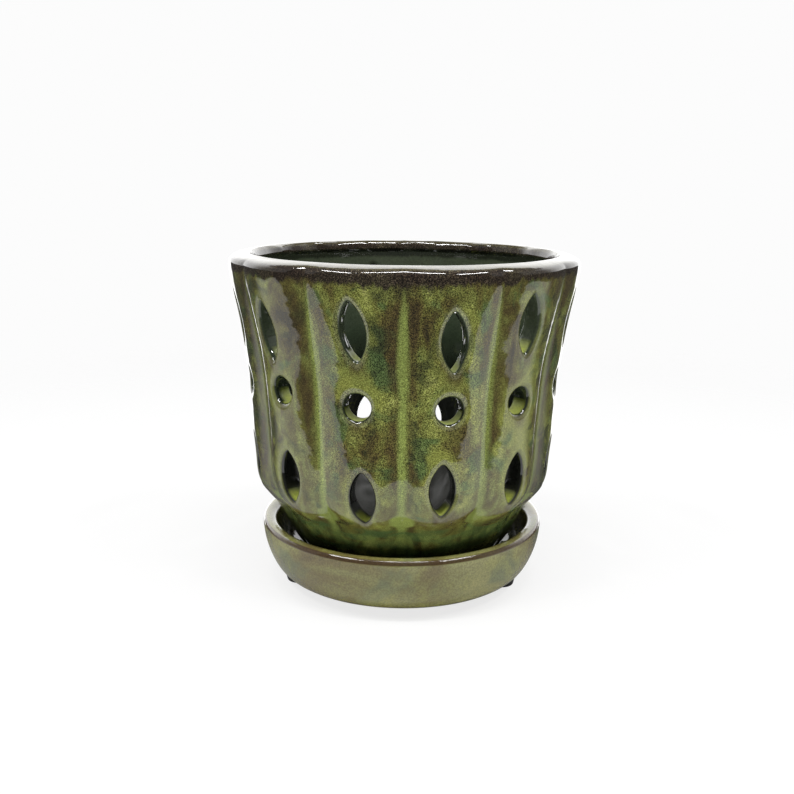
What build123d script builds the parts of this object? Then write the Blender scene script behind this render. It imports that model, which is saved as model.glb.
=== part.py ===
import os
from math import cos, radians, sin

from build123d import *

# Orchid pot with slots, standing in its saucer on rubber bumpers.
# Millimetres, +Z up, origin on the surface under the middle of the saucer.
# Lobes are centred on the X and Y axes.

# Bumpers under the saucer
bumper_height = 2.5
bumper_radius = 5.0
bumper_taper = 0.6
bumper_round = 0.7
bumper_inset = 2.5
bumper_angles = (-7, 104, 214)

# Saucer
saucer_height = 21.3
saucer_radius = 52.9
saucer_base_inset = 9.9
saucer_floor_thickness = 5.0
saucer_wall = 5.5
saucer_lip_height = 2.5
saucer_corner_inset = 3.7
saucer_corner_height = 5.3
saucer_inner_corner_height = 2.8
saucer_gap = 4.4
foot_clearance = 1.5

# Pot outside: crest radius and groove depth at each level
lobe_count = 12
pot_height = 114.9
groove_round = 2.0
rim_radius = 63.9
rim_groove = 1.0
rim_fillet = 2.2
rim_inner_fillet = 2.8
lip_drop = 6.0
lip_inset = 0.6
lip_groove = 1.2
flare_drop = 16.0
flare_inset = 2.1
flare_groove = 1.7
neck_drop = 36.0
neck_inset = 5.7
neck_groove = 2.1
waist_tuck = 0.2
waist_groove = 2.3
belly_height = 40.5
belly_radius = 55.8
belly_groove = 2.3
swell_height = 33.5
swell_inset = 0.8
swell_groove = 2.3
turn_height = 30.0
turn_inset = 2.4
turn_groove = 2.1
tuck_height = 22.0
tuck_flare = 4.0
tuck_groove = 1.5
under_height = 13.5
under_groove = 0.9
heel_height = 5.5
heel_flare = 1.7
foot_radius = 36.5
foot_groove = 0.6

# Pot inside
wall = 8.4
rim_wall = 9.2
lower_wall = 10.0
pot_floor_thickness = 8.0
inner_floor_radius = 22.0
foot_ring_width = 6.5
foot_ring_depth = 2.5
drain_radius = 8.0

# Openings in every lobe, cut by hand, so each one wanders up, aside and leans a little
slot_width = 8.2
upper_slot_height = 20.6
lower_slot_height = 18.6
round_hole_radius = 4.6
upper_row_drop = 21.6
middle_row_drop = 45.7
lower_row_height = 40.9
upper_wander = (-0.6, -2.0, 0.8, -2.3, 1.8, 0.4, -0.9, 0.7, -0.4, 1.0, -1.2, 0.3)
upper_aside = (0.0, -4.6, -0.6, 0.8, -2.0, 0.0, 0.8, -0.7, 0.4, -0.5, 0.9, 0.0)
upper_lean = (0.0, 7.5, 6.0, 4.0, 2.5, 0.0, -3.0, 2.0, 0.0, 3.0, -2.0, 0.0)
middle_wander = (0.5, 2.2, -0.1, -0.9, -0.4, 0.8, -0.5, 0.6, 0.2, -0.4, 0.9, -0.6)
middle_aside = (0.0, -0.6, -0.2, 0.6, -1.4, 0.0, 0.5, -0.8, 2.5, -2.5, 0.6, 0.0)
lower_wander = (-0.4, 0.2, -3.1, 0.0, 0.3, -0.8, 0.6, -0.9, -1.0, 0.4, 0.7, -0.5)
lower_aside = (0.0, 0.6, 1.0, -0.9, -0.6, 0.0, 0.7, -0.8, 0.5, 2.6, -0.4, 0.0)
lower_lean = (0.0, 2.0, 1.0, 1.0, -2.6, 0.0, 3.0, -2.0, 0.0, 0.0, 2.0, 0.0)
first_wander_lobe = 7

# Levels worked out from the stack of pieces
saucer_base = bumper_height
saucer_top = saucer_base + saucer_height
pot_base = saucer_base + saucer_floor_thickness
pot_top = pot_base + pot_height
lobe_step = 360 / lobe_count

belly_level = pot_base + belly_height
neck_level = pot_top - neck_drop
waist_level = (belly_level + neck_level) / 2
swell_level = pot_base + swell_height
turn_level = pot_base + turn_height
tuck_level = pot_base + tuck_height
under_level = pot_base + under_height
heel_level = pot_base + heel_height
pot_floor_level = pot_base + pot_floor_thickness

# Radii that follow the rim, the belly, the saucer and the foot
lip_radius = rim_radius - lip_inset
flare_radius = rim_radius - flare_inset
neck_radius = rim_radius - neck_inset
waist_radius = (belly_radius + neck_radius) / 2 - waist_tuck
swell_radius = belly_radius - swell_inset
turn_radius = belly_radius - turn_inset
under_radius = saucer_radius - saucer_wall - saucer_gap
tuck_radius = under_radius + tuck_flare
heel_radius = foot_radius + heel_flare
saucer_floor_radius = foot_radius + foot_clearance
saucer_base_radius = saucer_radius - saucer_base_inset
saucer_corner_radius = saucer_radius - saucer_corner_inset
bumper_circle_radius = saucer_base_radius - bumper_inset

# Openings are cut outwards from half way between the axis and the wall
cutter_start = belly_radius / 2

os.makedirs("parts", exist_ok=True)


def lobed_outline(crest_radius, groove_depth):
    # Convex lobe arcs and small concave groove arcs that meet tangentially
    half_step = lobe_step / 2
    groove_floor = crest_radius - groove_depth
    groove_centre = groove_floor + groove_round
    reach = crest_radius + groove_round
    lobe_centre = (groove_centre**2 - reach**2) / (2 * (groove_centre * cos(radians(half_step)) - reach))
    lobe_arc = crest_radius - lobe_centre
    middle = Vector(lobe_centre, 0)
    across = Vector(groove_centre, 0).rotate(Axis.Z, half_step) - middle
    meet = middle + across * (lobe_arc / across.length)
    before = Vector(meet.X, -meet.Y)
    crest = Vector(crest_radius, 0)
    valley = Vector(groove_floor, 0).rotate(Axis.Z, half_step)
    for lobe in range(lobe_count):
        turn = lobe * lobe_step
        lobe_start = before.rotate(Axis.Z, turn)
        lobe_end = meet.rotate(Axis.Z, turn)
        next_start = before.rotate(Axis.Z, turn + lobe_step)
        ThreePointArc(lobe_start, crest.rotate(Axis.Z, turn), lobe_end)
        ThreePointArc(lobe_end, valley.rotate(Axis.Z, turn), next_start)


def opening_plane(lobe, level, aside, lean=0):
    # A plane square to the lobe's radius, standing inside the pot and facing outwards
    turn = lobe * lobe_step
    outward = Vector(1, 0).rotate(Axis.Z, turn)
    sideways = outward.rotate(Axis.Z, 90)
    return Plane(
        origin=outward * cutter_start + sideways * aside + Vector(0, 0, level),
        x_dir=sideways * cos(radians(lean)) + Vector(0, 0, sin(radians(lean))),
        z_dir=outward,
    )


def lens_outline(width, height):
    # An upright lens with its points at the top and the bottom
    ThreePointArc((0, height / 2), (-width / 2, 0), (0, -height / 2))
    ThreePointArc((0, -height / 2), (width / 2, 0), (0, height / 2))


def wander_of(offsets, lobe):
    return offsets[(lobe - first_wander_lobe) % len(offsets)]


# Pot
with BuildPart() as pot:
    for level, crest_radius, groove_depth in (
        (pot_base, foot_radius, foot_groove),
        (heel_level, heel_radius, foot_groove),
        (under_level, under_radius, under_groove),
        (tuck_level, tuck_radius, tuck_groove),
        (turn_level, turn_radius, turn_groove),
        (swell_level, swell_radius, swell_groove),
        (belly_level, belly_radius, belly_groove),
        (waist_level, waist_radius, waist_groove),
        (neck_level, neck_radius, neck_groove),
        (pot_top - flare_drop, flare_radius, flare_groove),
        (pot_top - lip_drop, lip_radius, lip_groove),
        (pot_top, rim_radius, rim_groove),
    ):
        with BuildSketch(Plane.XY.offset(level)):
            with BuildLine():
                lobed_outline(crest_radius, groove_depth)
            make_face()
    loft()

    # Hollow inside
    with BuildSketch(Plane.XZ):
        with BuildLine():
            inside = Spline(
                (rim_radius - rim_wall, pot_top),
                (flare_radius - wall, pot_top - flare_drop),
                (neck_radius - wall, neck_level),
                (waist_radius - wall, waist_level),
                (belly_radius - wall, belly_level),
                (turn_radius - lower_wall, turn_level),
                (under_radius - lower_wall, under_level),
                (inner_floor_radius, pot_floor_level),
            )
            Polyline(inside @ 1, (0, pot_floor_level), (0, pot_top), inside @ 0)
        make_face()
    revolve(axis=Axis.Z, mode=Mode.SUBTRACT)

    # Rounded rim
    rim_face = pot.faces().sort_by(Axis.Z)[-1]
    fillet(rim_face.outer_wire().edges(), radius=rim_fillet)
    rim_face = pot.faces().sort_by(Axis.Z)[-1]
    fillet(rim_face.inner_wires().edges(), radius=rim_inner_fillet)

    # Foot ring and drain hole
    with BuildSketch(Plane.XY.offset(pot_base)):
        Circle(foot_radius - foot_ring_width)
    extrude(amount=foot_ring_depth, mode=Mode.SUBTRACT)
    with BuildSketch(Plane.XY.offset(pot_base)):
        Circle(drain_radius)
    extrude(amount=pot_floor_thickness, mode=Mode.SUBTRACT)

    # Openings
    for lobe in range(lobe_count):
        upper_level = pot_top - upper_row_drop + wander_of(upper_wander, lobe)
        upper_plane = opening_plane(lobe, upper_level, wander_of(upper_aside, lobe), wander_of(upper_lean, lobe))
        with BuildSketch(upper_plane):
            with BuildLine():
                lens_outline(slot_width, upper_slot_height)
            make_face()
        middle_level = pot_top - middle_row_drop + wander_of(middle_wander, lobe)
        with BuildSketch(opening_plane(lobe, middle_level, wander_of(middle_aside, lobe))):
            Circle(round_hole_radius)
        lower_level = pot_base + lower_row_height + wander_of(lower_wander, lobe)
        lower_plane = opening_plane(lobe, lower_level, wander_of(lower_aside, lobe), wander_of(lower_lean, lobe))
        with BuildSketch(lower_plane):
            with BuildLine():
                lens_outline(slot_width, lower_slot_height)
            make_face()
    extrude(amount=rim_radius, mode=Mode.SUBTRACT)

pot.part.label = "pot"
export_step(pot.part, "parts/pot.step")

# Saucer
with BuildPart() as saucer:
    with BuildSketch(Plane.XZ):
        with BuildLine():
            lip_level = saucer_top - saucer_lip_height
            outside = Spline(
                (saucer_base_radius, saucer_base),
                (saucer_corner_radius, saucer_base + saucer_corner_height),
                (saucer_radius, lip_level),
                tangents=((1, 0), (0, 1)),
            )
            lip = ThreePointArc(
                (saucer_radius, lip_level),
                (saucer_radius - saucer_wall / 2, saucer_top),
                (saucer_radius - saucer_wall, lip_level),
            )
            inner_wall = Spline(
                lip @ 1,
                (saucer_corner_radius - saucer_wall, pot_base + saucer_inner_corner_height),
                (saucer_floor_radius, pot_base),
                tangents=((0, -1), (-1, 0)),
            )
            Polyline(inner_wall @ 1, (0, pot_base), (0, saucer_base), outside @ 0)
        make_face()
    revolve(axis=Axis.Z)

saucer.part.label = "saucer"
export_step(saucer.part, "parts/saucer.step")

# Bumpers
for number, angle in enumerate(bumper_angles, start=1):
    spot = Vector(bumper_circle_radius, 0).rotate(Axis.Z, angle)
    with BuildPart() as bumper:
        with BuildSketch(Plane((spot.X, spot.Y, 0))):
            Circle(bumper_radius - bumper_taper)
        with BuildSketch(Plane((spot.X, spot.Y, bumper_height))):
            Circle(bumper_radius)
        loft()
        fillet(bumper.faces().sort_by(Axis.Z)[0].edges(), radius=bumper_round)
    bumper.part.label = f"foot_{number}"
    export_step(bumper.part, f"parts/foot_{number}.step")
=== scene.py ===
from math import asin, atan2, cos, degrees, exp, hypot, pi, radians, sin, sqrt

import bmesh
import bpy
from mathutils import Matrix, Vector, noise


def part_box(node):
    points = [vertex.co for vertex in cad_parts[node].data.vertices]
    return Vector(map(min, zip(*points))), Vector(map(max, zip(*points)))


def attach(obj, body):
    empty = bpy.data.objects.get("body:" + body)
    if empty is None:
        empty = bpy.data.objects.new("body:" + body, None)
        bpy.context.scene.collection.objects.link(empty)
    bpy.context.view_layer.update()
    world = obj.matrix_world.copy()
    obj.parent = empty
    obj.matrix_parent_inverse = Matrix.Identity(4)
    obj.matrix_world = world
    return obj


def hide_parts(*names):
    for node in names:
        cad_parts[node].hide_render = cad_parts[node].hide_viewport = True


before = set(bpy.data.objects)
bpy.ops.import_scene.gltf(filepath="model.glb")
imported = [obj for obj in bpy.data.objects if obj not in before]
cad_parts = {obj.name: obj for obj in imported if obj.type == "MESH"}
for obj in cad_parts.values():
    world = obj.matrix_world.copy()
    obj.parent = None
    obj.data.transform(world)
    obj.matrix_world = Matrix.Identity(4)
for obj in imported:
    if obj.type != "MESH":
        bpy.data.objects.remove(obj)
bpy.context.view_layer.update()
print("frame loaded:", sorted(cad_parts))

toMetres = 0.001  # shapes are worked in millimetres and scaled once at the end


# small helpers

def curveThrough(points, x):
    # smooth curve through a few given points
    last = len(points) - 2
    k = next((n for n in range(last) if x < points[n + 1][0]), last)

    def slope(n):
        before, after = points[max(n - 1, 0)], points[min(n + 1, last + 1)]
        return (after[1] - before[1]) / (after[0] - before[0])

    (x0, y0), (x1, y1) = points[k], points[k + 1]
    step = x1 - x0
    t = min(max((x - x0) / step, 0), 1)
    rise = y1 - y0
    m0, m1 = slope(k) * step, slope(k + 1) * step
    return y0 + t * (m0 + t * (3 * rise - 2 * m0 - m1 + t * (m0 + m1 - 2 * rise)))


def fade(x, near, far):
    # 1 at near, 0 at far, eased in between
    t = min(max((x - far) / (near - far), 0), 1)
    return t * t * (3 - 2 * t)


def turned(angle, radius, z):
    return Vector((radius * cos(radians(angle)), radius * sin(radians(angle)), z))


def addObject(name, data):
    made = bpy.data.objects.new(name, data)
    bpy.context.scene.collection.objects.link(made)
    return made


def meshObject(bm, name):
    mesh = bpy.data.meshes.new(name)
    bm.to_mesh(mesh)
    bm.free()
    return addObject(name, mesh)


def finishPiece(bm, name, body, nodes, material, levels):
    bmesh.ops.scale(bm, verts=bm.verts, vec=(toMetres,) * 3)
    for face in bm.faces:
        face.smooth = True
    piece = meshObject(bm, name)
    piece.data.materials.append(material)
    if levels:
        smooth = piece.modifiers.new("smooth", "SUBSURF")
        smooth.levels = smooth.render_levels = levels
    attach(piece, body)
    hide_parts(*nodes)
    print("piece made:", name, len(piece.data.polygons), "faces")


# materials: a socket that takes part in Python arithmetic, and the bench that makes the nodes

class Value:
    def __init__(self, bench, socket):
        self.bench, self.socket = bench, socket

    def join(self, operation, first, second):
        return self.bench.node("ShaderNodeMath", {"operation": operation}, {0: first, 1: second})

    def __add__(self, other):
        return self.join("ADD", self, other)

    def __radd__(self, other):
        return self.join("ADD", other, self)

    def __sub__(self, other):
        return self.join("SUBTRACT", self, other)

    def __rsub__(self, other):
        return self.join("SUBTRACT", other, self)

    def __mul__(self, other):
        return self.join("MULTIPLY", self, other)

    def __rmul__(self, other):
        return self.join("MULTIPLY", other, self)

    def __truediv__(self, other):
        return self.join("DIVIDE", self, other)

    def __pow__(self, other):
        return self.join("POWER", self, other)

    def above(self, other):
        return self.join("MAXIMUM", self, other)


class Bench:
    def __init__(self, tree):
        self.tree = tree
        tree.nodes.clear()

    def node(self, kind, settings=None, sockets=None, output=0):
        made = self.tree.nodes.new(kind)
        for name, setting in (settings or {}).items():
            if name == "stops":
                while len(made.color_ramp.elements) < len(setting):
                    made.color_ramp.elements.new(1)
                for element, (place, colour) in zip(made.color_ramp.elements, setting):
                    element.position, element.color = place, (*colour, 1)
            else:
                setattr(made, name, setting)
        for key, value in (sockets or {}).items():
            if isinstance(value, Value):
                self.tree.links.new(value.socket, made.inputs[key])
            else:
                made.inputs[key].default_value = value
        return Value(self, made.outputs[output]) if made.outputs else None

    def place(self):
        return self.node("ShaderNodeTexCoord", output="Object")

    def reading(self, name):
        return self.node("ShaderNodeAttribute", {"attribute_name": name}, output="Fac")

    def vector(self, operation, first, second):
        return self.node("ShaderNodeVectorMath", {"operation": operation}, {0: first, 1: second})

    def cloud(self, place, scale, detail=3, rough=0.5, twist=0.0, stretch=None, offset=None):
        if stretch:
            place = self.vector("MULTIPLY", place, stretch)
        if offset:
            place = self.vector("ADD", place, offset)
        return self.node("ShaderNodeTexNoise", {}, {
            "Vector": place, "Scale": scale, "Detail": detail, "Roughness": rough, "Distortion": twist})

    def ease(self, value, low, high, start=0.0, end=1.0):
        return self.node("ShaderNodeMapRange", {"interpolation_type": "SMOOTHSTEP"}, {
            "Value": value, "From Min": low, "From Max": high, "To Min": start, "To Max": end})

    def blend(self, share, first, second):
        return self.node("ShaderNodeMix", {"data_type": "RGBA"}, {0: share, 6: first, 7: second}, output=2)

    def ramp(self, value, stops):
        return self.node("ShaderNodeValToRGB", {"stops": stops}, {"Fac": value})

    def dim(self, colour, share):
        return self.node("ShaderNodeVectorMath", {"operation": "SCALE"}, {0: colour, "Scale": share})

    def dot(self, first, second):
        return self.node("ShaderNodeVectorMath", {"operation": "DOT_PRODUCT"}, {0: first, 1: second}, output="Value")

    def height(self, place):
        return self.node("ShaderNodeSeparateXYZ", {}, {0: place}, output="Z")

    def bump(self, height, depth):
        return self.node("ShaderNodeBump", {}, {"Height": height, "Strength": 1.0, "Distance": depth})

    def finish(self, shader, kind="ShaderNodeOutputMaterial"):
        self.node(kind, {}, {"Surface": shader})


def newMaterial(name):
    material = bpy.data.materials.new(name)
    material.use_nodes = True
    return material, Bench(material.node_tree)


# green reactive glaze, brown where it runs thin and lime where it pools

potGlaze = {
    "body": [
        (0.00, (0.036, 0.030, 0.012)),
        (0.22, (0.086, 0.070, 0.021)),
        (0.42, (0.127, 0.121, 0.030)),
        (0.58, (0.155, 0.168, 0.041)),
        (0.76, (0.225, 0.246, 0.060)),
        (1.00, (0.330, 0.350, 0.100)),
    ],
    "emerald": (0.070, 0.122, 0.040, 1),
    "moss": (0.034, 0.040, 0.016, 1),
    "yellow": (0.255, 0.278, 0.060, 1),
    "thin": (0.072, 0.052, 0.020, 1),
    # pale: glaze thin over the openings' edges, partly a painted reflection
    "pale": (0.170, 0.178, 0.105, 1),
    "band": [
        (0.00, (0.005, 0.003, 0.003)),
        (0.50, (0.024, 0.016, 0.012)),
        (0.75, (0.070, 0.055, 0.040)),
        (1.00, (0.160, 0.135, 0.100)),
    ],
    "lip": (0.062, 0.054, 0.026, 1),
    "pooled": (0.245, 0.300, 0.074, 1),
    # sill: pooled lime glaze, painted brighter as painted light
    "sill": (0.440, 0.500, 0.080),
    # inside: painted shade, near-black low down and in the openings, lighter towards the rim
    "inside": [
        (0.00, (0.012, 0.012, 0.009)),
        (0.30, (0.008, 0.009, 0.007)),
        (0.55, (0.010, 0.013, 0.008)),
        (0.80, (0.032, 0.045, 0.026)),
        (1.00, (0.060, 0.074, 0.045)),
    ],
    "clay": (0.42, 0.30, 0.20, 1),
    "roughness": 0.035,
    "clayRoughness": 0.6,
    "sillRoughness": 0.65,
    "ior": 1.6,
    "bumpDepth": 0.00015,
    # how strongly each layer covers what lies under it
    "cover": {
        "emerald": 0.75, "moss": 0.75, "drip": 0.85, "roll": 0.5, "pale": 0.32, "band": 0.95, "lip": 0.9, "sill": 0.9,
    },
    # patterns in the glaze
    "streak": {"scale": 260, "rough": 0.6, "twist": 0.4, "stretch": (1, 1, 0.25)},
    "patches": {"scale": 85, "twist": 1.5, "stretch": (1, 1, 0.6)},
    "speckle": {"scale": 1500, "rough": 0.75},
    "grain": {"scale": 3300, "detail": 0, "offset": (0.3, 0.1, 0.2)},
    "emeraldDrift": {"scale": 75, "twist": 1.0, "offset": (0.5, 0.2, 0.7)},
    "mossDrift": {"scale": 95, "twist": 1.0, "offset": (0.9, 0.4, 0.1)},
    "yellowDrift": {"scale": 100, "twist": 1.0, "offset": (0.2, 0.8, 0.6)},
    "bands": {"scale": 70, "detail": 2, "twist": 0.6, "stretch": (1, 1, 4)},
    "ripple": {"scale": 140, "detail": 2},
    "peel": {"scale": 1300, "detail": 1},
    "waves": {"scale": 110, "detail": 0},
    # heights in metres over which parts of the glaze come in, or go where the first is the higher one
    # painted heel shade: darkest below the lower height, gone above the upper
    "heelShadeHeights": (0.0200, 0.0275),
    # painted light: lime band round the foot between these heights
    "litBandFoot": (0.0240, 0.0275),
    "litBandTop": (0.0315, 0.0290),
    "greenFoot": (0.0340, 0.0320),
    "poolFoot": (0.0335, 0.0355),
    "poolTop": (0.0400, 0.0375),
    "calmLow": (0.062, 0.038),
    "brightDrop": (0.086, 0.094),
    "runNarrows": (0.095, 0.112),
    "runTop": (0.1195, 0.110),
    "bandFoot": (0.1158, 0.1176),
    "lipFoot": (0.1209, 0.1214),
    "lipPeel": (0.1185, 0.1200),
    "lipWaves": (0.1175, 0.1195),
    "insideShadeRise": (0.020, 0.115),
    "insideTop": (0.1195, 0.1182),
    "insideMatt": (0.046, 0.038),
    # painted shade: a darker band under the inner lip between these heights
    "shadeFoot": (0.1150, 0.1165),
    "shadeTop": (0.1200, 0.1185),
    # millimetres below the outside where the painted inside shade starts, and where the inner lip starts
    "insideShadeDeep": (0.5, 1.2),
    "lipDeep": (6.0, 7.5),
}


def makePotGlaze(look):
    material, bench = newMaterial("pot glaze")
    cover = look["cover"]
    place = bench.place()
    z = bench.height(place)
    # distances in millimetres from the nearest groove and opening, and below the outside
    groove, gap, deep = (bench.reading(name) for name in ("groove", "gap", "deep"))
    # shares of what the pot's own points carry
    drip, sill, dusk, still = (bench.reading(name) for name in ("drip", "sill", "dusk", "still"))
    run, lift, leaf, clay = (bench.reading(name) for name in ("run", "lift", "leaf", "clay"))
    streak, patches, speckle, grain = (
        bench.cloud(place, **look[name]) - 0.5 for name in ("streak", "patches", "speckle", "grain"))

    def drift(name):
        return bench.cloud(place, **look[name]) - 0.5 + 0.15 * speckle

    def between(foot, top):
        return bench.ease(z, *look[foot]) * bench.ease(z, *look[top])

    # body of the glaze: olive, moss, emerald and yellow run into each other
    colour = bench.ramp(0.465 + 1.9 * patches + 0.6 * streak + 0.3 * speckle + 0.32 * lift, look["body"])
    green = bench.ease(drift("emeraldDrift") + 0.16 * leaf, 0.03, 0.17)
    colour = bench.blend(green * cover["emerald"], colour, look["emerald"])
    # painted side shade also turns its lobes mossier and less yellow
    mossy = bench.ease(drift("mossDrift") + 0.25 * dusk + 0.14 * leaf, 0.06, 0.22)
    colour = bench.blend(mossy * cover["moss"], colour, look["moss"])
    bright = bench.ease(gap + 20 * drift("yellowDrift") - 7.0 * lift, 5.0, -1.0)
    bright = bright * (0.8 - 0.6 * dusk) * bench.ease(z, *look["brightDrop"], 1.0, 0.6)
    colour = bench.blend(bright, colour, look["yellow"])

    # thin and brown beside the grooves and under the openings
    near = groove + 4.0 * streak + 5.0 * patches + speckle + 2.5 * lift
    thin = bench.ease(near, 5.5, 2.5) * bench.ease(patches, -0.25, 0.1, 0.75, 0.35)
    colour = bench.blend(thin, colour, look["thin"])
    dripping = drip * bench.ease(streak + 0.3 * speckle, -0.2, 0.0)
    colour = bench.blend(dripping * cover["drip"], colour, look["thin"])

    # thick and lime in the grooves, with a pool where each ends, then green bands, and a lime band of painted light
    # round the foot where light reaches it over the saucer's lip
    foot = between("poolFoot", "poolTop")
    pool = groove + 2.6 * streak + 2.4 * patches + 0.5 * speckle - 2.5 * foot + bench.ease(z, *look["runNarrows"])
    lime = bench.ease(pool, 2.4, 0.4) * run.above(foot * 0.9) * bench.ease(z, *look["runTop"])
    colour = bench.blend(lime, colour, look["pooled"])
    bands = bench.ease(bench.cloud(place, **look["bands"]), 0.38, 0.60, 0.1, 0.8)
    colour = bench.blend(bench.ease(z, *look["greenFoot"]) * bands, colour, look["emerald"])
    # painted light: the lime band round the foot
    roll = between("litBandFoot", "litBandTop") * bench.ease(patches + streak, -0.2, 0.2)
    colour = bench.blend(roll * cover["roll"], colour, look["pooled"])
    # pale edge round each opening: glaze breaking thin over the cut edge, partly a painted reflection
    ring = bench.ease(gap + 2.0 * streak, 2.2, 1.6)  # pale edge round each opening
    colour = bench.blend(ring * cover["pale"], colour, look["pale"])

    # dark band under the rim with a ragged foot, browner lip above it
    ragged = z + 0.0075 * streak + 0.004 * patches + 0.0025 * speckle
    dark = bench.ramp(0.48 + 0.9 * speckle + 0.3 * grain + 0.4 * patches, look["band"])
    colour = bench.blend(bench.ease(ragged, *look["bandFoot"]) * cover["band"], colour, dark)
    lip = bench.ease(z + 0.001 * speckle, *look["lipFoot"])
    colour = bench.blend(lip * cover["lip"], colour, look["lip"])

    # fine light and dark grains, calmer where the glaze lies thick, and painted shade at the heel, darker low down
    # where the saucer shades the foot
    light = bench.ease(speckle, -0.22, 0.22, 0.58, 1.40) * bench.ease(grain, -0.3, 0.3, 0.0, 2.0)
    calm = (0.5 * bright).above(0.5 * lime).above(bench.ease(z, *look["calmLow"], 0.0, 0.8)).above(0.8 * still)
    paintedHeelShade = bench.ease(z + 0.006 * patches + 0.004 * streak, *look["heelShadeHeights"], 0.32, 1.0)
    # painted shade: the colour is dimmed by the painted side shade and the painted heel shade
    colour = bench.dim(colour, (light + calm * (1.0 - light)) * (1.0 - 0.6 * dusk) * paintedHeelShade)

    # inside and in the openings: painted shade, near-black from just within each opening and lighter towards the rim,
    # with a darker painted band under the inner lip
    wall = bench.ramp(bench.ease(z, *look["insideShadeRise"]) + 0.2 * patches, look["inside"])
    shade = 1.0 - 0.7 * bench.ease(z + 0.002 * streak, *look["shadeFoot"]) * bench.ease(z, *look["shadeTop"])
    inside = bench.ease(deep, *look["insideShadeDeep"]) * bench.ease(z + 0.001 * streak, *look["insideTop"])
    colour = bench.blend(inside, colour, bench.dim(wall, shade * (1.0 + 1.4 * speckle)))
    # painted light: bright lime on the sills of the openings, over pooled glaze
    colour = bench.blend(sill * cover["sill"], colour, bench.dim(look["sill"], 1.0 + 1.2 * speckle))
    colour = bench.blend(clay, colour, look["clay"])
    matt = inside * bench.ease(z, *look["insideMatt"]) * bench.ease(patches, -0.2, 0.2, 0.5, 0.95)

    # a slow ripple all over, orange peel on the rim and waves on its inner lip
    ripple = bench.cloud(place, **look["ripple"]) + 0.03 * speckle
    peel = bench.cloud(place, **look["peel"]) * bench.ease(z, *look["lipPeel"])
    waves = bench.cloud(place, **look["waves"]) * bench.ease(deep, *look["lipDeep"]) * bench.ease(z, *look["lipWaves"])
    shader = bench.node("ShaderNodeBsdfPrincipled", {}, {
        "Base Color": colour,
        "Roughness": look["roughness"] + look["clayRoughness"] * clay + look["sillRoughness"] * sill + matt,
        "IOR": look["ior"],
        "Normal": bench.bump(ripple + 0.15 * peel + 9.0 * waves, look["bumpDepth"]),
    })
    bench.finish(shader)
    return material


# olive glaze of the saucer, brown where it breaks over the lip

saucerGlaze = {
    "body": [
        (0.00, (0.110, 0.082, 0.026)),
        (0.35, (0.152, 0.132, 0.040)),
        (0.52, (0.172, 0.160, 0.050)),
        (0.70, (0.195, 0.190, 0.065)),
        (1.00, (0.255, 0.245, 0.085)),
    ],
    "teal": (0.085, 0.112, 0.055, 1),
    "yellow": (0.235, 0.235, 0.060, 1),
    "breaking": (0.050, 0.028, 0.015, 1),
    # painted shade in the well round the pot's foot
    "well": (0.030, 0.036, 0.018, 1),
    "clay": (0.42, 0.30, 0.20, 1),
    "roughness": 0.045,
    "clayRoughness": 0.6,
    "ior": 1.6,
    "bumpDepth": 0.00015,
    "cover": {"teal": 0.6, "yellow": 0.5, "well": 0.9, "breaking": 0.9},
    "patches": {"scale": 38, "detail": 2, "rough": 0.4, "twist": 1.2, "stretch": (1, 1, 2.0)},
    "speckle": {"scale": 1500, "detail": 2, "rough": 0.6},
    "tealDrift": {"scale": 60, "detail": 2, "twist": 0.6, "offset": (0.4, 0.1, 0.3)},
    "yellowDrift": {"scale": 95, "twist": 0.6, "offset": (0.7, 0.5, 0.1)},
    "ripple": {"scale": 150, "detail": 2},
    "peel": {"scale": 1100, "detail": 1},
}


def makeSaucerGlaze(look):
    material, bench = newMaterial("saucer glaze")
    cover = look["cover"]
    place = bench.place()
    lip, well, warm, leaf, clay = (bench.reading(name) for name in ("lip", "well", "warm", "leaf", "clay"))
    patches, speckle, ripple, peel = (
        bench.cloud(place, **look[name]) for name in ("patches", "speckle", "ripple", "peel"))
    tealDrift, yellowDrift = (bench.cloud(place, **look[name]) for name in ("tealDrift", "yellowDrift"))
    fine = speckle - 0.5
    colour = bench.ramp(1.5 * patches - 0.25 + 0.15 * fine - 0.45 * warm, look["body"])
    teal = bench.ease(tealDrift + 0.08 * fine + 0.15 * leaf, 0.55, 0.70)
    colour = bench.blend(teal * cover["teal"], colour, look["teal"])
    bright = bench.ease(yellowDrift + 0.08 * fine, 0.53, 0.70)
    colour = bench.blend(bright * cover["yellow"], colour, look["yellow"])
    # painted shade in the well
    colour = bench.blend(well * cover["well"], colour, look["well"])
    breaking = bench.ease(lip + 0.4 * fine, 0.45, 0.8)
    colour = bench.blend(breaking * cover["breaking"], colour, look["breaking"])
    colour = bench.dim(colour, bench.ease(speckle, 0.30, 0.70, 0.80, 1.20))
    colour = bench.blend(clay, colour, look["clay"])
    shader = bench.node("ShaderNodeBsdfPrincipled", {}, {
        "Base Color": colour,
        "Roughness": look["roughness"] + look["clayRoughness"] * clay,
        "IOR": look["ior"],
        "Normal": bench.bump(ripple + 0.02 * speckle + 0.4 * lip * peel, look["bumpDepth"]),
    })
    bench.finish(shader)
    return material


# black rubber, a little dusty

bumperRubber = {
    "dark": (0.010, 0.010, 0.011, 1),
    "dusty": (0.030, 0.030, 0.030, 1),
    "roughness": 0.55,
    "bumpDepth": 0.00005,
    "dust": {"scale": 500, "rough": 0.6},
    "grip": {"scale": 1800, "detail": 2},
}


def makeBumperRubber(look):
    material, bench = newMaterial("bumper rubber")
    place = bench.place()
    dust, grip = (bench.cloud(place, **look[name]) for name in ("dust", "grip"))
    shader = bench.node("ShaderNodeBsdfPrincipled", {}, {
        "Base Color": bench.blend(dust, look["dark"], look["dusty"]),
        "Roughness": look["roughness"] + 0.2 * (dust - 0.5),
        "Normal": bench.bump(grip, look["bumpDepth"]),
    })
    bench.finish(shader)
    return material


# pot: lobed outside, round inside, three hand-cut openings in every lobe

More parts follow.
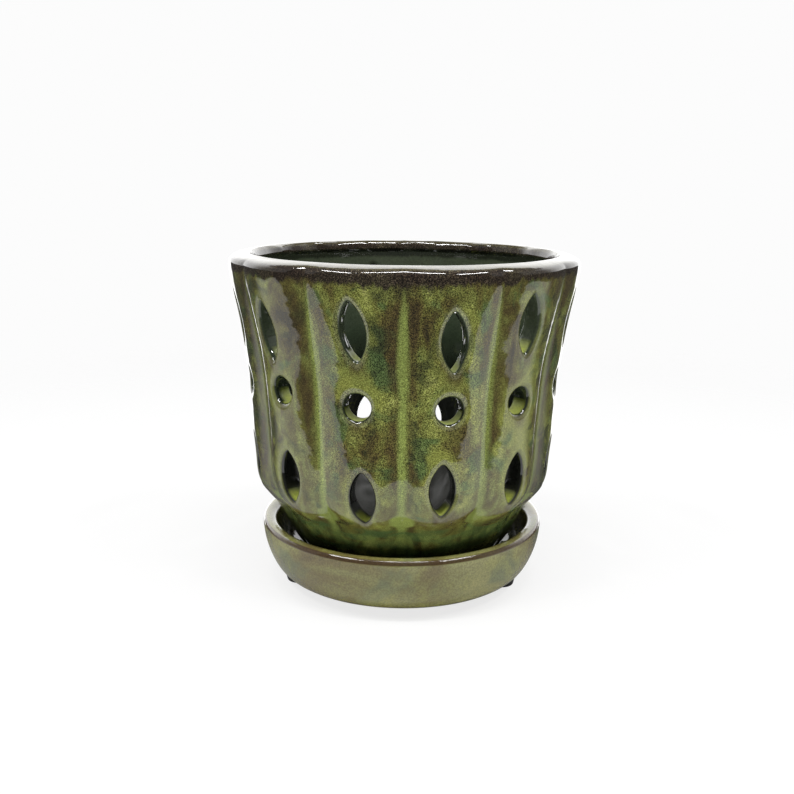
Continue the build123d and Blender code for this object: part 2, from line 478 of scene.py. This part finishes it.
pot = {
    "lobes": 12,
    "firstLobe": 7,  # lists with one entry per lobe start here
    "grooveRound": 2.0,
    # height, crest radius, groove depth
    "outside": [
        (7.5, 36.5, 0.6), (13.0, 38.2, 0.6), (21.0, 43.0, 0.9), (29.5, 47.0, 1.8), (37.5, 53.4, 3.4), (41.0, 55.0, 2.9),
        (48.0, 55.8, 2.4), (67.2, 56.8, 2.3), (86.4, 58.2, 2.1), (106.4, 61.8, 1.7), (116.4, 63.3, 1.2),
        (122.4, 63.9, 1.0),
    ],
    # height, radius
    "inside": [
        (15.5, 22.0), (21.0, 33.0), (37.5, 43.4), (48.0, 47.4), (67.2, 48.4), (86.4, 49.8), (106.4, 53.4),
        (122.4, 54.7),
    ],
    # rim: distance in from the wall and height, over the crown to the inside as radius and height
    "wallTop": 116.8,
    "rim": [
        (-0.1, 118.5), (-0.12, 119.4), (0.08, 120.2), (0.55, 120.85), (1.25, 121.28), (2.3, 121.66), (4.2, 122.1),
        (6.0, 122.33),
    ],
    "lip": [(56.3, 122.4), (55.85, 122.12), (55.25, 121.5), (54.8, 120.6), (54.5, 119.2)],
    "insideTop": 117.3,
    "rimWidth": 3.4,
    # floor, drain hole, underside and foot ring as radius and height, from the inside wall round to the foot
    "floor": [
        (35.8, 24.0), (31.9, 20.2), (27.4, 17.4), (22.0, 15.7), (9.6, 15.5), (8.3, 15.1), (8.0, 14.0),
        (8.0, 11.6), (8.4, 10.3), (9.8, 10.0), (28.4, 10.0), (29.8, 9.5), (30.2, 8.3), (31.4, 7.5),
        (33.4, 7.5), (35.4, 7.5),
    ],
    # hand-made unevenness: how much, how often round the wall and how tall, then how often the rim dips, the layer of
    # noise that it follows, and the heights between which the dips come in
    "wobble": 0.2,
    "wobbleRound": 1.6,
    "wobbleTall": 35,
    "dipRound": 2.2,
    "dipLayer": 5,
    "dipEnds": (122, 118),
    # the flat sheet: columns in degrees across a lobe, and the two that hold an opening between them
    "columns": (-15, -14.4, -13.3, -11.4, -9.0, -6.6, -4.2, -2.1, 0, 2.1, 4.2, 6.6, 9.0, 11.4, 13.3, 14.4),
    "holeColumns": (6, 10),
    # heights under the openings with the rows of faces above each, then rows above each opening, lowest first
    "outsideFoot": [(8.6, 4), (21.0, 4), (33.0, 3)],
    "outsideRows": (5, 3, 3),
    "insideFoot": [(28.0, 3)],
    "insideRows": (3, 2, 3),
    "fold": 264.8,  # on the sheet the inside lies at this less its height
    # smoothing of the sheet round the openings, between these columns of a lobe and above this row
    "relax": 40,
    "relaxShare": 0.5,
    "freeColumns": (2, 15),
    "freeRow": 3,
    # how far an opening's rounded edge reaches along the wall and into it, with its steps in degrees
    "edgeReach": 2.5,
    "edgeDepth": 1.9,
    "outerSwings": (22, 45, 68, 90),
    "innerSwings": (90, 45, 0),
    # painted shade on each lobe: how much darker its glaze colour is painted, most on lobes 7 and 0 at the sides
    "dusk": (0.75, 0.1, 0.0, 0.0, 0.05, 0.6, 0.3, 0.0, 0.2, 0.1, 0.0, 0.4),
    # how evenly the glaze lies on each lobe
    "still": (0.9, 0.9, 0.1, 0.1, 0.9, 0.9, 0.4, 0.1, 0.5, 0.3, 0.6, 0.2),
    # how much glaze ran down the groove after each lobe
    "runs": (0.35, 0.9, 1.0, 0.75, 0.5, 0.6, 0.4, 0.9, 0.6, 0.8, 0.45, 0.7),
    # thick and thin places of the glaze on the front: degrees right of the front groove, height, half width and half
    # height, then how far to lime (or brown below 0) and how far to leaf green
    "frontGroove": 285,
    "flows": [
        (-8, 81, 4, 4, 1.2, 0), (-17, 86, 6, 4, 1.0, 0), (-7, 91, 4, 7, -0.2, 0.9), (-5, 107, 4, 8, -0.6, 0),
        (-13, 113, 9, 4, 0.6, 0), (-8, 99, 3, 8, 0, 0.5), (-8, 66, 6, 9, -0.6, 0), (-20, 60, 4, 6, -0.6, 0),
        (-21, 67, 3, 3, 0.8, 0), (-23, 75, 3, 6, 0, 0.8), (4, 106, 4, 10, -0.7, 0), (4, 90, 3, 8, -0.6, 0),
        (9, 97, 4, 8, 0.2, 0.5), (19, 105, 4, 5, 1.0, 0), (21, 94, 3, 5, 1.3, 0), (24, 98, 2, 6, 0, 1.0),
        (20, 88, 3, 3, -0.5, 0), (13, 84, 7, 3, 0.9, 0), (6, 64, 4, 12, -0.1, 0.7), (20, 67, 4, 6, -0.6, 0),
        (11, 61, 5, 3, 1.0, 0), (21, 58, 3, 3, 0.3, 0.6), (4, 45, 3, 6, 0, 1.0), (-48, 77, 8, 12, 0.4, 0.2),
        (-38, 106, 3.2, 12, -1.0, 0), (-36, 82, 2.6, 14, -1.0, 0), (-35, 58, 2, 12, -0.8, 0), (36, 100, 3, 14, -0.4, 0),
        (35, 68, 3, 16, 0.7, 0), (47, 90, 6, 16, 0.5, 0), (46, 60, 7, 12, 0.6, 0),
    ],
    # the farthest that an opening is felt, and how deep the outer face goes
    "farGap": 12.0,
    "faceDeep": 2,
    # brown drip: how far it fades sideways, below and above an opening's lower tip
    "dripAside": (1.5, 4.0),
    "dripBelow": (1.0, 7.0),
    "dripAbove": 2,
    # lime sill inside an opening, pooled glaze painted brighter as painted light where it faces up: its edge, how low
    # it lies as a share of the height, and how deep
    "sillGap": 0.4,
    "slotSill": (0.42, 0.26),
    "roundSill": (0.30, 0.05),
    "sillDeep": (6.0, 8.5),
    # past the first, each millimetre of depth counts as so many away from a groove
    "grooveDeep": 6,
    # the crown of the rim counts as outside, above this height and out from this radius
    "crownFoot": 118,
    "crownRadius": 57,
    # bare clay under the foot ring, out from this radius
    "clayTop": (8.0, 8.8),
    "clayRadius": 28,
}
lobeStep = 360 / pot["lobes"]

# openings by row: middle level, width, height, rows of faces, then each lobe's own shift and lean
openings = [
    {"level": 100.8, "width": 8.2, "height": 20.6, "rows": 8,
     "up": (-0.6, -2.0, 0.8, -2.3, 1.8, 0.4, -0.9, 0.7, -0.4, 1.0, -1.2, 0.3),
     "aside": (0, -4.6, -0.6, 0.8, -2.0, 0, 0.8, -0.7, 0.4, -0.5, 0.9, 0),
     "lean": (0, 7.5, 6, 4, 2.5, 0, -3, 2, 0, 3, -2, 0)},
    {"level": 76.7, "width": 9.2, "height": 9.2, "rows": 4,
     "up": (0.5, 2.2, -0.1, -0.9, -0.4, 0.8, -0.5, 0.6, 0.2, -0.4, 0.9, -0.6),
     "aside": (0, -0.6, -0.2, 0.6, -1.4, 0, 0.5, -0.8, 2.5, -2.5, 0.6, 0),
     "lean": (0, 0, 0, 0, 0, 0, 0, 0, 0, 0, 0, 0)},
    {"level": 48.4, "width": 8.2, "height": 18.6, "rows": 8,
     "up": (-0.4, 0.2, -3.1, 0.0, 0.3, -0.8, 0.6, -0.9, -1.0, 0.4, 0.7, -0.5),
     "aside": (0, 0.6, 1.0, -0.9, -0.6, 0, 0.7, -0.8, 0.5, 2.6, -0.4, 0),
     "lean": (0, 2, 1, 1, -2.6, 0, 3, -2, 0, 0, 2, 0)},
]


def byLobe(values, lobe):
    return values[(lobe - pot["firstLobe"]) % pot["lobes"]]


def handCut(opening, lobe):
    up, aside, lean = (byLobe(opening[name], lobe) for name in ("up", "aside", "lean"))
    return opening["level"] + up, aside, radians(lean)


def lobedRadius(angle, z):
    # arcs of the lobes meet the small hollow arcs of the grooves
    crest = curveThrough([(h, r) for h, r, d in pot["outside"]], z)
    depth = curveThrough([(h, d) for h, r, d in pot["outside"]], z)
    half = lobeStep / 2
    off = abs((angle + half) % lobeStep - half)
    q = pot["grooveRound"]
    hollow = crest - depth + q
    reach = crest + q
    centre = (hollow ** 2 - reach ** 2) / (2 * (hollow * cos(radians(half)) - reach))
    arc = crest - centre
    across = Vector((hollow * cos(radians(half)) - centre, hollow * sin(radians(half))))
    meet = Vector((centre, 0)) + across.normalized() * arc
    if off < degrees(atan2(meet.y, meet.x)):
        return centre * cos(radians(off)) + sqrt(arc ** 2 - (centre * sin(radians(off))) ** 2)
    off = half - off
    return hollow * cos(radians(off)) - sqrt(q ** 2 - (hollow * sin(radians(off))) ** 2)


def innerRadius(z):
    return curveThrough(pot["inside"], z)


def handWobble(angle, z):
    # the wall of a hand-made pot is never quite true
    spot = turned(angle, pot["wobbleRound"], z / pot["wobbleTall"])
    return pot["wobble"] * (noise.noise(spot) - 1)


def rimPoint(angle, inset, z):
    # grooves and unevenness of the wall die out over the rim, and the crown dips a little here and there
    crest = lobedRadius(0, pot["wallTop"])
    hollow = (crest - lobedRadius(angle, pot["wallTop"]) - handWobble(angle, z)) * fade(inset, 0, pot["rimWidth"])
    point = turned(angle, crest - hollow - inset, z)
    dip = 1 + noise.noise(turned(angle, pot["dipRound"], pot["dipLayer"]))
    point.z -= pot["wobble"] * dip * fade(z, *pot["dipEnds"])
    return point


def lensArc(width, height):
    # radius of the two arcs that make a lens
    return (height * height + width * width) / (4 * width)


def lensPoint(opening, share, side, flare):
    # a point on one side of a lens, from its lower tip at 0 to its upper tip at 1
    w, h = opening["width"] + 2 * flare, opening["height"] + 2 * flare
    arc = lensArc(w, h)
    swing = asin(min(h / 2 / arc, 1)) * (2 * share - 1)
    return side * (arc * cos(swing) - arc + w / 2), arc * sin(swing)


def cutPoint(spot, flare):
    # sideways and upward place of a point of a hand-cut opening, measured on its lobe
    lobe, number, share, side = spot
    level, shift, lean = handCut(openings[number], lobe)
    across, up = lensPoint(openings[number], share, side, flare)
    return shift + across * cos(lean) - up * sin(lean), level + up * cos(lean) + across * sin(lean)


def fromOpening(opening, lobe, across, z):
    # place on the lobe in the opening's own upright frame, and the distance from its edge
    level, shift, lean = handCut(opening, lobe)
    x, y = across - shift, z - level
    x, y = x * cos(lean) + y * sin(lean), y * cos(lean) - x * sin(lean)
    arc = lensArc(opening["width"], opening["height"])
    return x, y, hypot(abs(x) + arc - opening["width"] / 2, y) - arc


def holeEnds(opening):
    return opening["level"] - opening["height"] / 2, opening["level"] + opening["height"] / 2


def wallRows(foot, above, top):
    # heights of the rows of faces, evenly spaced under, beside and above each opening
    starts = list(foot)
    for opening, count in zip(reversed(openings), above):
        low, high = holeEnds(opening)
        starts += [(low, opening["rows"]), (high, count)]
    ends = [z for z, count in starts[1:]] + [top]
    return [z + (end - z) * k / count for (z, count), end in zip(starts, ends) for k in range(count)]


def potRows():
    # up the outside, over the rim, down the inside, round the floor and back to the first row
    rows = [("out", z, 0) for z in wallRows(pot["outsideFoot"], pot["outsideRows"], pot["wallTop"])]
    rows += [("out", pot["wallTop"], 0)] + [("rim", inset, z) for inset, z in pot["rim"]]
    rows += [("lip", r, z) for r, z in pot["lip"]] + [("in", pot["insideTop"], 0)]
    inside = wallRows(pot["insideFoot"], pot["insideRows"], pot["insideTop"])
    rows += [("in", z, 0) for z in reversed(inside)]
    rows += [("floor", r, z) for r, z in pot["floor"]]
    return rows + rows[:1]


def wallOpenings(bm, edges, spots):
    # extrude the cut edges through the wall, rounded over at both faces, and give the last ring of points
    plan = [("out", swing) for swing in pot["outerSwings"]] + [("middle", 90)]
    plan += [("in", swing) for swing in pot["innerSwings"]]
    for face, swing in plan:
        flare = pot["edgeReach"] * (1 - sin(radians(swing)))
        deep = pot["edgeDepth"] * (1 - cos(radians(swing)))
        made = bmesh.ops.extrude_edge_only(bm, edges=edges)["geom"]
        ring = [g for g in made if isinstance(g, bmesh.types.BMVert)]
        fresh = set(ring)
        edges = [g for g in made if isinstance(g, bmesh.types.BMEdge) and fresh.issuperset(g.verts)]
        for v in ring:
            source = next(e.other_vert(v) for e in v.link_edges if e.other_vert(v) not in fresh)
            spots[v] = spots[source]
            across, z = cutPoint(spots[v], flare)
            turn = lobeStep * spots[v][0]
            angle = degrees(asin(across / lobedRadius(0, z)))
            outer = sqrt((lobedRadius(angle, z) + handWobble(turn + angle, z)) ** 2 - across ** 2)
            inner = sqrt(innerRadius(z) ** 2 - across ** 2)
            reach = {"out": outer - deep, "middle": (outer + inner) / 2, "in": inner + deep}[face]
            v.co = Vector((reach, across, z))
            v.co.rotate(Matrix.Rotation(radians(turn), 3, "Z"))
    return ring


def nearFlow(angle, radius, z, place, level, wide, tall):
    # 1 in the middle of a place in the glaze, less and less round it
    aside = ((angle - place - pot["frontGroove"] + 180) % 360 - 180) * pi / 180 * radius
    return exp(-(aside / wide) ** 2 - ((z - level) / tall) ** 2)


def markGlaze(bm):
    # where the glaze breaks, pools and stops
    names = ("groove", "gap", "deep", "drip", "sill", "dusk", "still", "run", "lift", "leaf", "clay")
    marks = {name: bm.verts.layers.float.new(name) for name in names}
    for v in bm.verts:
        radius, z = hypot(v.co.x, v.co.y), v.co.z
        angle = degrees(atan2(v.co.y, v.co.x))
        lobe = round(angle / lobeStep)
        off = angle - lobe * lobeStep
        outer = lobedRadius(angle, min(z, pot["wallTop"]))
        deep = outer - radius
        nearest, drip, sill = pot["farGap"], 0.0, 0.0
        for opening in openings:
            x, y, gap = fromOpening(opening, lobe, radius * sin(radians(off)), z)
            w, h = opening["width"], opening["height"]
            nearest = min(nearest, gap)
            if deep < pot["faceDeep"]:
                below = fade(-h / 2 - y, *pot["dripBelow"]) * fade(y, -h / 2, -h / 2 + pot["dripAbove"])
                drip = max(drip, fade(abs(x), *pot["dripAside"]) * below)
            elif gap < pot["sillGap"] and y < 0:
                full, none = pot["slotSill"] if h > w else pot["roundSill"]
                sill = max(sill, fade(-y, h * full, h * none) * fade(deep, *pot["sillDeep"]))
        v[marks["groove"]] = (lobeStep / 2 - abs(off)) * pi / 180 * outer + pot["grooveDeep"] * max(deep - 1, 0)
        v[marks["gap"]], v[marks["drip"]], v[marks["sill"]] = nearest, drip, sill
        v[marks["deep"]] = deep if z < pot["crownFoot"] or radius < pot["crownRadius"] else 0.0
        # painted side shade, eased from lobe to lobe
        for name in ("dusk", "still"):
            here, beside = byLobe(pot[name], lobe), byLobe(pot[name], lobe + (1 if off > 0 else -1))
            v[marks[name]] = here + (beside - here) * abs(off) / lobeStep
        for *spread, lift, leaf in pot["flows"]:
            near = nearFlow(angle, outer, z, *spread)
            v[marks["lift"]] += lift * near
            v[marks["leaf"]] += leaf * near
        v[marks["run"]] = byLobe(pot["runs"], lobe - (off < 0))
        v[marks["clay"]] = fade(z, *pot["clayTop"]) if radius > pot["clayRadius"] else 0.0


def buildPot():
    rows = potRows()
    columns = len(pot["columns"])
    sheetColumns, sheetRows = columns * pot["lobes"], len(rows) - 1
    first, last = pot["holeColumns"]
    half = (last - first) // 2

    # a flat sheet, in degrees across and millimetres up
    bm = bmesh.new()
    bmesh.ops.create_grid(bm, x_segments=sheetColumns, y_segments=sheetRows, size=1)
    seat = {}
    for v in bm.verts:
        i, j = round((v.co.x + 1) / 2 * sheetColumns), round((v.co.y + 1) / 2 * sheetRows)
        seat[v] = (i, j)
        kind, a, b = rows[j]
        flat = {"out": a, "in": pot["fold"] - a}.get(kind, 0)
        v.co = (pot["columns"][i % columns] + lobeStep * (i // columns), flat, 0)

    # cut the openings out of the sheet, outside and inside
    startOf = {}
    for number, opening in enumerate(openings):
        for wall, end in zip(("out", "in"), holeEnds(opening)):
            startOf[number, wall] = min(
                range(len(rows)), key=lambda j: (rows[j][0] != wall, abs(rows[j][1] - end)))

    def holeAt(i, j):
        # opening, wall and place in the opening's own patch of the sheet
        c = i % columns - first
        if 0 <= c <= last - first:
            for (number, wall), start in startOf.items():
                if start <= j <= start + openings[number]["rows"]:
                    return number, wall, c, j - start
        return None

    gone = []
    for face in bm.faces:
        i, j = (min(seat[v][n] for v in face.verts) for n in (0, 1))
        hole = holeAt(i, j)
        if hole and hole[2] < last - first and hole[3] < openings[hole[0]]["rows"]:
            gone.append(face)
    bmesh.ops.delete(bm, geom=gone, context="FACES")

    # put each cut edge on its lens and let the sheet settle round it
    onEdge, free = {}, []
    lowColumn, highColumn = pot["freeColumns"]
    for v in bm.verts:
        i, j = seat[v]
        kind, lobe, hole = rows[j][0], i // columns, holeAt(i, j)
        if hole:
            number, wall, c, r = hole
            count = openings[number]["rows"]
            r = r if wall == "out" else count - r
            aside = abs(c - half)
            steps = aside if r == 0 else count + 2 * half - aside if r == count else half + r
            spot = (lobe, number, steps / (count + 2 * half), 1 if c > half else -1 if c < half else 0)
            across, z = cutPoint(spot, pot["edgeReach"])
            radius = lobedRadius(0, z) if wall == "out" else innerRadius(z)
            v.co.x = lobe * lobeStep + degrees(asin(across / radius))
            v.co.y = z if wall == "out" else pot["fold"] - z
            onEdge[v] = (wall, spot)
        elif kind in ("out", "in") and lowColumn < i % columns < highColumn and pot["freeRow"] < j < sheetRows:
            if rows[j - 1][0] == rows[j + 1][0] == kind:
                free.append(v)
    for _ in range(pot["relax"]):
        bmesh.ops.smooth_vert(bm, verts=free, factor=pot["relaxShare"], use_axis_x=True, use_axis_y=True)

    # wrap the sheet round the pot
    for v in bm.verts:
        kind, a, b = rows[seat[v][1]]
        angle = v.co.x
        if kind == "out":
            z = v.co.y
            v.co = turned(angle, lobedRadius(angle, z) + handWobble(angle, z), z)
        elif kind == "in":
            z = pot["fold"] - v.co.y
            v.co = turned(angle, innerRadius(z), z)
        elif kind == "rim":
            v.co = rimPoint(angle, a, b)
        else:
            v.co = turned(angle, a, b)
    edges = [e for e in bm.edges if e.is_boundary and all(onEdge.get(v, ("",))[0] == "out" for v in e.verts)]
    bmesh.ops.remove_doubles(bm, verts=[v for v in bm.verts if v not in onEdge], dist=0.01)

    # join the openings through the wall
    seams = wallOpenings(bm, edges, {v: spot for v, (wall, spot) in onEdge.items() if wall == "out"})
    seams += [v for v, (wall, spot) in onEdge.items() if wall == "in"]
    bmesh.ops.remove_doubles(bm, verts=seams, dist=0.02)
    bmesh.ops.recalc_face_normals(bm, faces=bm.faces)
    markGlaze(bm)
    finishPiece(bm, "glazed_pot", "pot", ["pot"], makePotGlaze(potGlaze), levels=1)


# saucer: one spun bowl with a rounded lip

saucer = {
    # radius and height from the middle underneath, round the lip, to the middle of the floor
    "profile": [
        (0, 2.5), (14, 2.5), (28, 2.5), (38, 2.5), (42.6, 2.52), (45.2, 3.1), (47.4, 4.9), (49.3, 7.9), (50.9, 11.6),
        (52.0, 15.2), (52.6, 18.6), (52.82, 21.2), (52.70, 22.4), (52.15, 23.3), (51.2, 23.72), (50.0, 23.8),
        (48.7, 23.4), (47.7, 22.4), (47.2, 20.6), (46.8, 17.8), (45.9, 14.0), (44.4, 11.0), (42.2, 8.9), (39.4, 7.7),
        (36.4, 7.5), (28, 7.5), (14, 7.5), (0, 7.5),
    ],
    "steps": 96,
    # brown line on the lip: radius and height of its middle, and how far it fades from them
    "lipRadius": 52.5,
    "lipAcross": (0.2, 1.1),
    "lipLevel": 22.9,
    "lipUp": (0.4, 1.2),
    # painted shade in the dark well round the pot's foot: fades out towards the lip and upwards, from above the floor
    "wellRadius": (47.6, 49.0),
    "wellLevel": (7.0, 23.0),
    "wellFloor": 7.2,
    "clayTop": (2.55, 2.9),
    # places in the glaze as on the pot, then how far to brown and to leaf green
    "flows": [
        (-34, 19, 12, 5, 0.8, 0), (-8, 20, 9, 3, 0.2, 0), (16, 20, 9, 3, 0.3, 0), (45, 14, 8, 6, 0, 1.0),
        (31, 12, 6, 4, -0.7, 0.3), (-52, 10, 10, 6, 0, 0.6), (-12, 8, 15, 4, -0.5, 0.2), (62, 20, 6, 4, 0.7, 0),
    ],
}


def buildSaucer():
    bm = bmesh.new()
    points = [bm.verts.new((r, 0, z)) for r, z in saucer["profile"]]
    line = [bm.edges.new(pair) for pair in zip(points, points[1:])]
    bmesh.ops.spin(
        bm, geom=points + line, cent=(0, 0, 0), axis=(0, 0, 1), angle=2 * pi, steps=saucer["steps"], use_merge=True,
        use_duplicate=False)
    bmesh.ops.remove_doubles(bm, verts=bm.verts, dist=0.001)
    bmesh.ops.recalc_face_normals(bm, faces=bm.faces)
    lip, well, warm, leaf, clay = (bm.verts.layers.float.new(name) for name in ("lip", "well", "warm", "leaf", "clay"))
    for v in bm.verts:
        radius, z = hypot(v.co.x, v.co.y), v.co.z
        angle = degrees(atan2(v.co.y, v.co.x))
        across, up = abs(radius - saucer["lipRadius"]), abs(z - saucer["lipLevel"])
        v[lip] = fade(across, *saucer["lipAcross"]) * fade(up, *saucer["lipUp"])
        if z > saucer["wellFloor"]:
            v[well] = fade(radius, *saucer["wellRadius"]) * fade(z, *saucer["wellLevel"])
        v[clay] = fade(z, *saucer["clayTop"])
        for *spread, brown, green in saucer["flows"]:
            near = nearFlow(angle, radius, z, *spread)
            v[warm] += brown * near
            v[leaf] += green * near
    finishPiece(bm, "glazed_saucer", "dish", ["saucer"], makeSaucerGlaze(saucerGlaze), levels=1)


# stick-on bumpers

bumper = {"count": 3, "topRadius": 5.0, "footRadius": 4.4, "height": 2.5, "round": 0.7, "sides": 40}


def buildBumper(number, material):
    low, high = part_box(f"foot_{number}")
    centre = (low + high) / 2 / toMetres
    bm = bmesh.new()
    bmesh.ops.create_cone(
        bm, cap_ends=True, cap_tris=False, segments=bumper["sides"], radius1=bumper["footRadius"],
        radius2=bumper["topRadius"], depth=bumper["height"])
    bmesh.ops.translate(bm, verts=bm.verts, vec=centre)
    bottom = min(bm.faces, key=lambda f: f.calc_center_median().z)
    bmesh.ops.bevel(
        bm, geom=list(bottom.edges), offset=bumper["round"], segments=3, profile=0.5, affect="EDGES", material=-1)
    finishPiece(bm, f"bumper_{number}", "dish", [f"foot_{number}"], material, levels=0)


buildPot()
buildSaucer()
rubber = makeBumperRubber(bumperRubber)
for number in range(1, bumper["count"] + 1):
    buildBumper(number, rubber)


# studio: pale floor, white sides, darker room behind the camera

studio = {
    "azimuth": 15,
    "white": 0.9734,
    "floorSize": 3.0,
    "floorColour": 0.80,
    "floorLift": 0.77,
    "floorShadow": 0.16,
    "floorFade": (0.30, 0.55),
    # what reflections see of the floor: a white sheet that ends a little way from the pot, its front bowed and its
    # back askew
    "sheetFront": (0.160, 0.164),
    "sheetBow": 0.12,
    "sheetBack": (-0.10, 0.03),
    "sheetSplay": 0.35,
    "sheetSkew": 0.03,
    "sheetMiddle": 0.013,
    "sheetSide": (0.52, 0.526),
    # how bright the surround is: white at the back and darker in front, dark below but for a glow behind
    "high": 0.45,
    "back": 2.3,
    "room": 0.12,
    "low": 0.10,
    "behind": 3.0,
    "ceiling": 0.25,
    # where these meet: how far a ray goes towards the camera, and how far it rises, from -1 to 1
    "backTurn": (-0.7, -0.1),
    "behindTurn": (-0.82, -0.87),
    "behindRise": (-0.31, -0.25),
    "lowRise": (0.02, -0.02),
    "roomTurn": (0.33, 0.36),
    "ceilingRise": (0.60, 0.66),
    # strip lamps overhead
    "lampsAside": (-0.50, 0.00, 0.50),
    "lampAhead": 0.24,
    "lampUp": 0.85,
    "lampLength": 0.44,
    "lampWidth": 0.05,
    "lampWatts": 4.2,
}


def towardsCamera(aside=0):
    # level direction from the pot to the camera, or some degrees round to its right
    turn = radians(studio["azimuth"] + aside)
    return Vector((sin(turn), -cos(turn), 0))


def buildFloor():
    bm = bmesh.new()
    bmesh.ops.create_grid(bm, x_segments=8, y_segments=8, size=studio["floorSize"] / 2)
    floor = meshObject(bm, "floor")
    material, bench = newMaterial("pale floor")
    place = bench.place()
    seen = bench.node("ShaderNodeLightPath", output="Is Camera Ray")
    mirrored = bench.node("ShaderNodeLightPath", output="Is Glossy Ray")
    colour = studio["floorColour"] + seen * (studio["floorShadow"] - studio["floorColour"])
    lit = bench.node("ShaderNodeBsdfDiffuse", {}, {"Color": colour})
    lift = bench.node("ShaderNodeEmission", {}, {"Color": (1, 1, 1, 1), "Strength": seen * studio["floorLift"]})
    both = bench.node("ShaderNodeAddShader", {}, {0: lit, 1: lift})

    # the floor fades into the background, and for reflections it ends with the sheet
    gap = bench.node("ShaderNodeVectorMath", {"operation": "LENGTH"}, {0: place}, output="Value")
    ahead, aside = bench.dot(place, towardsCamera()), bench.dot(place, towardsCamera(90))
    across = aside - studio["sheetMiddle"]
    across = across.above(0.0 - across)
    frontEnd = bench.ease(ahead + studio["sheetBow"] * across, *studio["sheetFront"])
    backEnd = bench.ease(studio["sheetSkew"] * aside - studio["sheetSplay"] * across - ahead, *studio["sheetBack"])
    sheetEnd = frontEnd.above(backEnd).above(bench.ease(across, *studio["sheetSide"]))
    gone = bench.ease(gap, *studio["floorFade"]) * (1.0 - mirrored) + mirrored * sheetEnd
    clear = bench.node("ShaderNodeBsdfTransparent")
    bench.finish(bench.node("ShaderNodeMixShader", {}, {0: gone, 1: both, 2: clear}))
    floor.data.materials.append(material)


def buildWorld():
    world = bpy.data.worlds.new("studio")
    bpy.context.scene.world = world
    world.use_nodes = True
    bench = Bench(world.node_tree)
    ray = bench.node("ShaderNodeTexCoord", output="Generated")
    ahead, rise = bench.dot(ray, towardsCamera()), bench.height(ray)
    turn = ahead / (1.0001 - rise * rise) ** 0.5  # a little over 1, so that straight up still divides
    wall = bench.ease(turn, *studio["backTurn"], studio["back"], studio["high"])
    behind = bench.ease(turn, *studio["behindTurn"]) * bench.ease(rise, *studio["behindRise"])
    low = studio["low"] + behind * (studio["behind"] - studio["low"])
    wall = wall + bench.ease(rise, *studio["lowRise"]) * (low - wall)
    wall = wall + bench.ease(turn, *studio["roomTurn"]) * (studio["room"] - wall)
    room = wall + bench.ease(rise, *studio["ceilingRise"]) * (studio["ceiling"] - wall)
    seen = bench.node("ShaderNodeLightPath", output="Is Camera Ray")
    strength = room + seen * (studio["white"] - room)
    background = bench.node("ShaderNodeBackground", {}, {"Color": (1, 1, 1, 1), "Strength": strength})
    bench.finish(background, "ShaderNodeOutputWorld")


def buildLamps():
    for number, aside in enumerate(studio["lampsAside"]):
        lamp = bpy.data.lights.new(f"lamp {number}", "AREA")
        lamp.shape, lamp.energy = "RECTANGLE", studio["lampWatts"]
        lamp.size, lamp.size_y = studio["lampLength"], studio["lampWidth"]
        holder = addObject(f"lamp {number}", lamp)
        spot = towardsCamera(90) * aside + towardsCamera() * studio["lampAhead"] + Vector((0, 0, studio["lampUp"]))
        holder.location = spot
        holder.rotation_euler = spot.to_track_quat("Z", "Y").to_euler()


# camera where the photograph was taken, with its slight roll

camera = {
    "distance": 0.360, "height": 0.1506, "pitch": 12.94, "roll": 0.62, "lens": 44.6, "sensor": 36, "shift": -0.0076,
    "near": 0.01,
}


def buildCamera():
    data = bpy.data.cameras.new("camera")
    data.sensor_width, data.lens, data.shift_x = camera["sensor"], camera["lens"], camera["shift"]
    data.clip_start = camera["near"]
    holder = addObject("camera", data)
    place = towardsCamera() * camera["distance"]
    place.z = camera["height"]
    turn = Matrix.Rotation(radians(studio["azimuth"]), 4, "Z")
    tilt = Matrix.Rotation(radians(90 - camera["pitch"]), 4, "X")
    roll = Matrix.Rotation(radians(camera["roll"]), 4, "Z")
    holder.matrix_world = Matrix.Translation(place) @ turn @ tilt @ roll
    bpy.context.scene.camera = holder


buildFloor()
buildWorld()
buildLamps()
buildCamera()
bpy.context.scene.view_settings.view_transform = "Standard"
print("studio ready")
